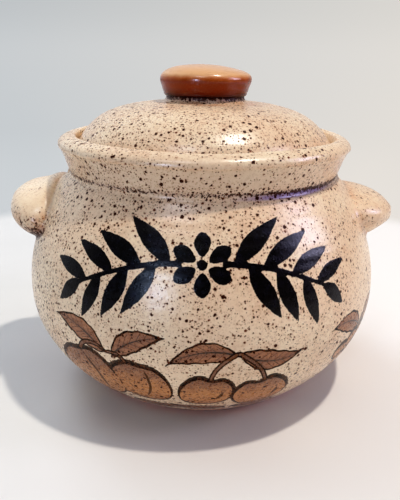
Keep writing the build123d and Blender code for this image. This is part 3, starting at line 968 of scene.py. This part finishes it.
def glaze(name, painted=False):
    g = Nodes(name)
    at = g.coords()
    wob = g.vec("SCALE", g.vec("SUBTRACT", g.noise(at, 0.9, 2.0, colour=True), (0.5, 0.5, 0.5)), scale=1.25)
    at_w = g.vec("ADD", at, wob)
    cloud = g.noise(at, 34.0, 3.0, 0.55)
    patch = g.noise(at, 12.0, 3.0, 0.6, 0.4)
    fleck = g.noise(at, 2.6, 2.0, 0.6)
    grain = g.noise(at, 0.55, 2.0, 0.6)
    dens, pool, bare, blush = g.attr("dens"), g.attr("pool"), g.attr("bare"), g.attr("blush")

    # the clean glaze: cream where it is thick, tan and pinkish where it lies thinly over the clay
    c = g.mix(g.step(cloud, 0.32, 0.68), lin(242, 220, 188), lin(236, 207, 174))
    c = g.mix(g.mul(g.step(patch, 0.48, 0.78), 0.50), c, lin(221, 185, 151))
    c = g.mix(g.mul(g.step(fleck, 0.52, 0.78), 0.38), c, lin(204, 164, 130))
    c = g.mix(g.mul(g.step(fleck, 0.46, 0.28), 0.30), c, lin(250, 234, 206))
    c = g.mix(g.mul(g.step(grain, 0.50, 0.80), 0.34), c, lin(182, 138, 106))
    # orange-brown flashing of the glaze; on the lugs' undersides this tint is painted shade
    burnt_and_shade = g.mul(blush, g.step(g.noise(at, 7.0, 3.0, 0.6, 0.6), 0.36, 0.62))
    c = g.mix(g.mul(burnt_and_shade, 0.80), c, lin(204, 132, 74))
    c = g.mix(g.step(blush, 1.1, 2.0, 0.0, 0.92), c, lin(254, 150, 64))
    # mauve pooled glaze; on the right of the crease and under the lugs the same colour is painted shade
    c = g.mix(g.step(pool, 0.10, 1.6, 0.0, 0.60), c, lin(132, 104, 108))

    thick = g.mad(g.sub(g.noise(at, 21.0, 2.0), 0.5), 1.5, dens)
    thick = g.mad(g.sub(g.noise(at, 7.0, 2.0), 0.5), 1.5, thick)
    thick = g.math("ADD", thick, g.mul(pool, 0.8), clamp=True)
    big = specks(g, at_w, 3.6, 0.50, 1.10, g.mul(thick, 0.90))
    mid = specks(g, g.vec("ADD", at_w, (31.7, 12.1, 5.3)), 2.1, 0.30, 0.70, g.mul(thick, 0.95))
    tiny = specks(g, g.vec("ADD", at_w, (7.9, 41.3, 17.7)), 1.2, 0.16, 0.38, g.mad(thick, 0.97, 0.11))
    core = g.max(g.max(big[0], mid[0]), g.mul(tiny[0], 0.90))
    rim = g.max(g.max(big[1], mid[1]), g.mul(tiny[1], 0.6))
    rust = g.mul(g.max(g.mul(mid[2], mid[0]), g.mul(tiny[2], tiny[0])), 0.75)
    # dark lines of pooled glaze; the dark line on the right of the crease is painted shade
    pooled_dark_and_shade = g.step(g.mad(pool, 0.20, g.noise(at, 1.7, 2.0, 0.6)), 0.69, 0.75)
    core = g.max(core, g.mul(pooled_dark_and_shade, g.step(pool, 0.2, 0.5, 0.0, 0.92)))

    height = g.mul(g.noise(at, 3.2, 2.0), 0.085)
    height = g.mad(g.noise(at, 1.15, 1.0), 0.060, height)
    height = g.mad(grain, 0.030, height)
    height = g.mad(core, -0.030, height)

    if painted:
        # painted shade: the collar and the front of the rim darker and greyer
        c = g.mix(g.mul(g.attr("thin"), 0.5), c, lin(202, 176, 150))
        # painted reflection: the violet band in the crease
        c = g.mix(g.step(g.attr("haze"), 0.15, 0.85, 0.0, 0.75), c, lin(112, 96, 168))
        soft = g.mul(g.sub(g.noise(at, 1.5, 3.0, 0.65), 0.5), 0.75)
        press = g.noise(at, 13.0, 2.0)
        streak = g.noise(g.vec("MULTIPLY", at, (0.35, 0.35, 1.0)), 2.2, 3.0, 0.65, 0.5)
        leaf, lu, lv = g.attr("leaf"), g.attr("lu"), g.attr("lv")
        fruit, fx, fy = g.attr("fruit"), g.attr("fx"), g.attr("fy")
        stalk, mark, ink = g.attr("stalk"), g.attr("mark"), g.attr("ink")
        line = lin(24, 16, 12)

        def over(field, fill, amount, wide, rise, base, hide=None):
            """Colour base painted with a watery wash inside field and a brushed line round it."""
            d = g.add(field, soft)
            inside = g.step(d, 0.14, -0.14)
            edge = g.step(g.sub(g.math("ABSOLUTE", g.add(d, 0.25)), wide), 0.16, -0.16)
            if hide is not None:
                inside, edge = g.mul(inside, hide), g.mul(edge, hide)
            out = g.mix(g.mul(inside, amount), base, fill)
            return g.mix(g.mul(edge, rise), out, line), inside, edge

        # leaves
        wash = g.mix(g.step(streak, 0.35, 0.68), lin(146, 92, 58), lin(176, 120, 80))
        across = g.math("ABSOLUTE", lv)
        wash = g.mix(g.mul(g.step(across, 3.2, 0.2), 0.55), wash, lin(112, 64, 42))
        hide = g.sub(1.0, g.step(g.add(fruit, soft), 0.14, -0.14))
        c, leaf_in, leaf_line = over(leaf, wash, 0.93, g.mad(press, 1.1, 0.00), 0.97, c, hide)
        rib = g.step(g.sub(across, g.step(lu, 30.0, 0.0, 0.20, 0.62)), 0.14, -0.14)
        comb = g.math("PINGPONG", g.sub(g.sub(lu, g.mul(across, 1.15)), 1.0), 2.3)
        side = g.mul(g.step(g.sub(comb, 0.22), 0.17, -0.10), g.step(across, 5.8, 4.2))
        veins = g.mul(g.max(rib, g.mul(side, 0.85)), leaf_in)
        c = g.mix(g.mul(veins, g.step(press, 0.25, 0.5, 0.65, 0.98)), c, lin(44, 28, 20))

        # fruit: a golden wash, browner at the top and stippled there
        tone = g.add(fy, g.mul(g.sub(g.noise(at, 6.0, 3.0, 0.6), 0.5), 1.1))
        wash = g.mix(g.step(tone, -0.15, 0.95), lin(196, 136, 82), lin(134, 80, 44))
        wash = g.mix(g.mul(g.step(tone, -0.45, -1.0), 0.8), wash, lin(150, 94, 56))
        wash = g.mix(g.mul(g.step(streak, 0.45, 0.75), 0.35), wash, lin(206, 152, 104))
        wash = g.mix(g.mul(g.mul(g.step(grain, 0.50, 0.60), g.step(tone, 0.1, 0.8)), 0.6), wash, lin(78, 44, 28))
        dots = specks(g, g.vec("ADD", at_w, (17.3, 3.9, 29.1)), 1.45, 0.26, 0.60, g.step(tone, -0.7, 0.6, 0.12, 0.95))
        wash = g.mix(g.mul(dots[0], 0.85), wash, lin(58, 30, 18))
        wide = g.mad(g.step(fy, -0.2, 0.95), 1.25, g.mad(press, 1.15, 0.00))
        c, fruit_in, fruit_line = over(fruit, wash, 0.93, wide, 0.95, c)
        marks = g.mul(g.step(g.add(mark, g.mul(soft, 0.6)), 0.16, -0.16), fruit_in)
        c = g.mix(g.mul(marks, 0.85), c, lin(66, 42, 28))
        c, stalk_in, stalk_line = over(stalk, lin(128, 84, 58), 0.95, 0.42, 0.95, c)
        painted_on = g.max(g.max(leaf_in, fruit_in), stalk_in)
        lines = g.max(g.max(leaf_line, fruit_line), g.max(stalk_line, marks))
        height = g.mad(painted_on, 0.035, height)
        height = g.mad(lines, 0.03, height)

    c = g.mix(g.mul(rim, 0.46), c, lin(164, 108, 74))
    dark = g.mix(rust, lin(54, 22, 11), lin(118, 62, 36))
    c = g.mix(g.mul(core, 0.97), c, dark)
    gloss = g.mad(core, -0.38, 0.5)

    if painted:
        ragged = g.mad(g.sub(g.noise(at, 1.2, 2.0, 0.6), 0.5), 0.75, g.mul(g.sub(g.noise(at, 4.0, 1.0), 0.5), 0.7))
        black = g.step(g.add(ink, ragged), 0.16, -0.16)
        tint = g.mix(g.step(g.noise(at, 5.0, 3.0, 0.6), 0.45, 0.8), lin(5, 5, 8), lin(20, 20, 34))
        c = g.mix(g.mul(black, 0.992), c, tint)
        height = g.mad(black, 0.05, height)
        gloss = g.min(gloss, g.mad(lines, -0.36, 0.5))
        gloss = g.mad(black, g.sub(0.36, gloss), gloss)

    # bare clay: foot, ledge and the lid's bearing edge
    clay = g.mix(g.noise(at, 9.0, 3.0, 0.6), lin(205, 174, 141), lin(178, 143, 110))
    clay = g.mix(g.mul(core, 0.8), clay, lin(92, 60, 42))
    raw = g.step(g.add(bare, g.mul(g.sub(g.noise(at, 4.0, 2.0), 0.5), 0.5)), 0.35, 0.55)
    c = g.mix(raw, c, clay)
    height = g.mad(g.mul(raw, g.noise(at, 0.5, 2.0, 0.7)), 0.10, height)
    rough = g.mad(g.sub(g.noise(at, 1.8, 2.0), 0.5), 0.16, 0.285)
    rough = g.mad(core, 0.10, rough)
    rough = g.mad(raw, 0.5, rough)
    gloss = g.mad(raw, -0.35, gloss)
    return g.surface(
        Base_Color=c, Roughness=rough, Normal=g.bump(height), Specular_IOR_Level=gloss,
        Sheen_Weight=0.10, Sheen_Roughness=0.32, Sheen_Tint=(1.0, 0.97, 0.93, 1.0),
    )


def amber(name):
    g = Nodes(name)
    at = g.coords()
    rise, out = g.attr("rise"), g.attr("out")
    # Colour by height: deep red-brown on the flank, pale caramel on the top. Part of this is the glaze's own colour,
    # part is painted shade on the flank and painted light on the top.
    level = g.mad(g.sub(g.noise(at, 6.0, 2.0, 0.5), 0.5), 0.10, rise)
    c = g.mix(g.step(level, 0.02, 0.30), lin(104, 33, 6), lin(140, 52, 12))
    c = g.mix(g.step(level, 0.44, 0.62), c, lin(186, 108, 56))
    c = g.mix(g.step(level, 0.56, 0.72), c, lin(222, 174, 126))
    c = g.mix(g.mul(g.step(g.noise(at, 1.0, 3.0, 0.65), 0.50, 0.80), g.step(level, 0.3, 0.8, 0.05, 0.20)), c, lin(240, 196, 148))
    c = g.mix(g.mul(g.step(g.noise(at, 4.5, 3.0, 0.6), 0.52, 0.80), 0.20), c, lin(150, 80, 36))
    c = g.mix(g.mul(g.step(rise, 0.09, 0.0), 0.75), c, lin(40, 14, 10))
    rings = g.math("SINE", g.mul(out, 62.0))
    height = g.mad(rings, 0.010, g.mul(g.noise(at, 2.8, 2.0), 0.06))
    rough = g.mad(g.sub(g.noise(at, 2.0, 2.0), 0.5), 0.10, 0.24)
    return g.surface(Base_Color=c, Roughness=rough, Normal=g.bump(height), Sheen_Weight=0.15, Sheen_Roughness=0.3)


plain, decorated, brown = glaze("speckled_glaze"), glaze("speckled_glaze_painted", painted=True), amber("knob_glaze")
for ob, node, body, mat, slot in (
    (vessel, "vessel", "pot", decorated, "speckled_glaze"),
    (lug_left, "lug_left", "pot", plain, "speckled_glaze"),
    (lug_right, "lug_right", "pot", plain, "speckled_glaze"),
    (lid, "lid", "lid", plain, "speckled_glaze"),
    (knob, "knob", "lid", brown, "knob_glaze"),
):
    ob.data.materials.append(mat)
    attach(ob, body)
    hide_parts(node)


# -------------------------------------------------------------- table, light
def backdrop_painted_light(g, x, high):
    """The pale wall behind the table, with painted light: cooler and dimmer to the left, warmer and brighter to the
    right where the lamp spills on it, a little darker higher up.
    """
    low = g.mix(g.step(x, -0.40, 0.40, smooth=False), lin(208, 212, 215), lin(231, 226, 220))
    top = g.mix(g.step(x, -0.36, 0.36, smooth=False), lin(194, 198, 201), lin(220, 217, 212))
    return g.mix(high, low, top)


g = Nodes("table_and_wall")
at = g.coords()
sep = g.new("ShaderNodeSeparateXYZ")
g.put(sep.inputs[0], at)
far = g.math("SQRT", g.add(g.mul(sep.outputs[0], sep.outputs[0]), g.mul(sep.outputs[1], sep.outputs[1])))
seen = g.new("ShaderNodeLightPath").outputs["Is Camera Ray"]
# Further out the floor shows the camera the backdrop's colour as a glow, its painted light included.
wall = g.mul(g.step(far, 425.0, 480.0), seen)
# Painted light: the paper darker to the left and brighter to the right, where the lamp on the right would light it
# more.
paper_and_painted_light = g.mix(g.step(g.add(sep.outputs[0], g.mul(sep.outputs[1], -0.10)), -190.0, 170.0, smooth=False), lin(213, 212, 208), lin(236, 232, 226))
paper_and_painted_light = g.mix(g.mul(g.noise(at, 60.0, 3.0), 0.5), paper_and_painted_light, lin(230, 228, 224))
b = g.new("ShaderNodeBsdfPrincipled")
g.put(b.inputs["Base Color"], paper_and_painted_light)
b.inputs["Roughness"].default_value = 0.7
b.inputs["Specular IOR Level"].default_value = 0.2
e = g.new("ShaderNodeEmission")
g.put(e.inputs[0], backdrop_painted_light(g, g.math("DIVIDE", sep.outputs[0], g.max(far, 1.0)), g.step(far, 500.0, 1500.0, 0.0, 0.4)))
m = g.new("ShaderNodeMixShader")
g.put(m.inputs[0], wall)
g.tree.links.new(b.outputs[0], m.inputs[1])
g.tree.links.new(e.outputs[0], m.inputs[2])
g.tree.links.new(m.outputs[0], g.new("ShaderNodeOutputMaterial").inputs[0])
ring = np.linspace(0, 2 * math.pi, 129)[:-1]
disc, quads = [(0, 0, 0)], []
radii = (150, 300, 420, 490, 700, 1500, 4000, 12000)
for r in radii:
    disc += [(r * math.sin(t), -r * math.cos(t), 0.0) for t in ring]
for j in range(128):
    k = (j + 1) % 128
    quads.append([0, 1 + j, 1 + k])
    for i in range(len(radii) - 1):
        quads.append([1 + i * 128 + j, 1 + (i + 1) * 128 + j, 1 + (i + 1) * 128 + k, 1 + i * 128 + k])
floor = mesh_object("table", disc, quads)
floor.data.materials.append(g.mat)

# The camera sees a plain pale room. The pot is lit by a room that is bright behind and above it and dim in front.
world = bpy.data.worlds.new("room")
bpy.context.scene.world = world
world.use_nodes = True
w = Nodes("room_nodes")
bpy.data.materials.remove(w.mat)
w.tree = world.node_tree
w.tree.nodes.clear()
sep = w.new("ShaderNodeSeparateXYZ")
w.put(sep.inputs[0], w.new("ShaderNodeTexCoord").outputs["Generated"])
shown = backdrop_painted_light(w, sep.outputs[0], w.step(sep.outputs[2], 0.0, 0.09, 0.4, 1.0))
behind = w.mix(w.step(sep.outputs[0], -0.6, 0.5), (0.66, 0.70, 0.78, 1), (0.47, 0.46, 0.48, 1))
round_left = w.mad(sep.outputs[0], -0.45, sep.outputs[1])
room = w.mix(w.step(round_left, -0.25, 0.75), (0.050, 0.037, 0.042, 1), behind)
room = w.mix(w.step(sep.outputs[2], 0.30, 0.98), room, (0.50, 0.50, 0.53, 1))
bg = w.new("ShaderNodeBackground")
w.put(bg.inputs[0], w.mix(w.new("ShaderNodeLightPath").outputs["Is Camera Ray"], room, shown))
bg.inputs[1].default_value = 1.0
w.tree.links.new(bg.outputs[0], w.new("ShaderNodeOutputWorld").inputs[0])


def lamp(name, direction, distance, size, colour, power, size_y=None, gloss_only=False):
    """A lamp that shines from a direction on to the pot: a soft panel, or a far one (parallel rays) if distance is None.
    A lamp with gloss_only shows as a sheen on glaze and lights nothing."""
    d = np.array(direction, float)
    d /= np.linalg.norm(d)
    light = bpy.data.lights.new(name, "AREA" if distance else "SUN")
    if distance:
        light.shape = "DISK" if size_y is None else "RECTANGLE"
        light.size = size
        if size_y is not None:
            light.size_y = size_y
    else:
        light.angle = size
    light.color = colour
    light.energy = power
    ob = bpy.data.objects.new(name, light)
    bpy.context.scene.collection.objects.link(ob)
    pos = np.array([0.0, 0.0, 0.10]) + d * (distance or 2.0)
    z = d
    x = np.cross((0, 0, 1.0), z)
    x = x / np.linalg.norm(x)
    y = np.cross(z, x)
    ob.matrix_world = Matrix(((x[0], y[0], z[0], pos[0]), (x[1], y[1], z[1], pos[1]), (x[2], y[2], z[2], pos[2]), (0, 0, 0, 1)))
    ob.visible_camera = False
    ob.visible_diffuse = not gloss_only
    return ob


lamp("key", (0.754, -0.221, 2.5), 2.62, 0.15, (0.96, 0.895, 0.81), 40.0)
lamp("fill_back_left", (-0.50, 0.72, 0.55), 1.6, 0.60, (0.78, 0.87, 1.0), 8.8, 0.60).visible_glossy = False
lamp("fill_left", (-0.50, 0.25, 0.83), 1.5, 0.70, (0.80, 0.92, 1.0), 3.2, 0.50).visible_glossy = False
lamp("fill_right", (0.93, -0.10, 0.40), 1.3, 0.30, (0.82, 0.78, 1.0), 3.8, 0.40)
lamp("sheen_right", (0.857, -0.180, 0.485), 1.3, 0.40, (0.62, 0.62, 1.0), 4.6, 0.60, gloss_only=True)
lamp("fill_front_left", (-0.44, -0.89, 0.24), 1.4, 0.12, (0.58, 0.72, 1.0), 4.2, 0.20)
lamp("sheen_left", (-0.44, -0.89, 0.09), 1.4, 0.13, (0.50, 0.66, 1.0), 2.2, 0.22, gloss_only=True)
lamp("fill_high_left", (-0.235, -0.50, 0.83), 1.4, 0.36, (0.82, 0.86, 1.0), 3.6, 0.26, gloss_only=True)

view = bpy.context.scene.view_settings
view.use_curve_mapping = True
curve = view.curve_mapping.curves[3]
for x, y in ((0.02, 0.004), (0.06, 0.030), (0.15, 0.103), (0.30, 0.252), (0.50, 0.465), (0.75, 0.745)):
    curve.points.new(x, y)
view.curve_mapping.update()
bpy.context.scene.view_settings.view_transform = "Standard"
bpy.context.scene.view_settings.look = "None"
